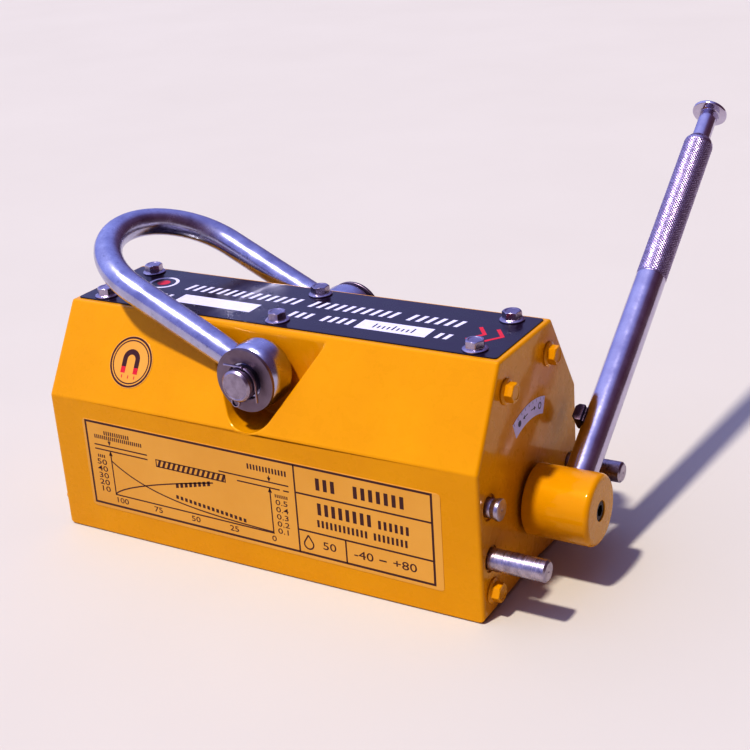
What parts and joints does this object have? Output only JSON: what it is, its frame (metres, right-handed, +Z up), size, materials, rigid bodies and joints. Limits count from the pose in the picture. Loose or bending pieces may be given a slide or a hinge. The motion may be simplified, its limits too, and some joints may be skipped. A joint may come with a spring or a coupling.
{
  "type": "permanent lifting magnet",
  "caption": "Long magnet block with sloping shoulders, a swinging lifting shackle on top and a crank handle with a push button at one end.",
  "frame": {"origin": "middle of the load face between the two pole shoes, at the height of the pole faces", "axes": "+Z up, +X along the body towards the handle end, +Y across the body away from the side with the chart label"},
  "size_m": [0.4418, 0.4145, 0.2883],
  "materials": {
    "body_paint": "glossy enamel",
    "zinc_steel": "bright zinc plating",
    "chrome": "polished plating",
    "dark_steel": "oiled dark steel",
    "iron": "machined soft iron",
    "magnet": "sintered magnet",
    "brass": "machined",
    "aluminium": "machined",
    "seal_rubber": "matt",
    "nameplate_black": "satin print on sheet metal",
    "label_film": "printed film",
    "label_white": "printed film"
  },
  "bodies": {
    "housing": {"near_pole": "body_paint", "far_pole": "body_paint", "top_cover": "body_paint", "lower_separator": "brass", "upper_separator": "brass", "stator_magnets": "magnet", "top_bar": "aluminium", "front_cover": "body_paint", "rear_cover": "body_paint", "front_cover_bolts": "body_paint", "rear_cover_bolts": "body_paint", "cover_dowels": "iron", "top_bolts": "zinc_steel", "nameplate": "nameplate_black", "front_bush": "brass", "rear_bush": "brass", "front_seal": "seal_rubber", "lock_pin": "zinc_steel", "near_stop_pin": "zinc_steel", "far_stop_pin": "zinc_steel", "dial_label": "label_white", "chart_label": "label_film", "round_label": "label_film", "shackle_pin": "zinc_steel", "shackle_washers": "zinc_steel", "cotter_pins": "zinc_steel"},
    "rotor": {"rotor_pole_a": "iron", "rotor_pole_b": "iron", "rotor_magnets": "magnet", "rotor_keepers": "aluminium", "front_rotor_cap": "aluminium", "rear_rotor_cap": "aluminium", "rotor_cap_screws": "dark_steel", "drive_shaft": "iron", "rear_shaft": "iron", "hub": "body_paint", "hub_key": "iron", "hub_screw": "dark_steel", "handle_tube": "chrome", "handle_grub_screw": "dark_steel", "handle_collar": "chrome", "rod_guide": "brass", "spring_seat": "brass", "button_spring": "iron"},
    "plunger": {"button_head": "chrome", "button_stem": "chrome", "push_rod": "iron", "lock_key": "dark_steel", "key_screw": "dark_steel"},
    "shackle": {"shackle": "zinc_steel"}
  },
  "joints": [
    {"name": "rotor_turn", "type": "hinge", "parent": "housing", "child": "rotor", "pos_m": [0.22, 0, 0.0582], "axis": [1, 0, 0], "range_deg": [-20.5, 139.5]},
    {"name": "button_push", "type": "slide", "parent": "rotor", "child": "plunger", "axis": [0, -0.8231, -0.5678], "range_m": [0, 0.018], "stiffness_N_per_m": 700, "springref_m": -0.025, "deforming": ["button_spring"]},
    {"name": "shackle_swing", "type": "hinge", "parent": "housing", "child": "shackle", "pos_m": [0, 0, 0.153], "axis": [0, 1, 0], "range_deg": [0, 128]}
  ]
}
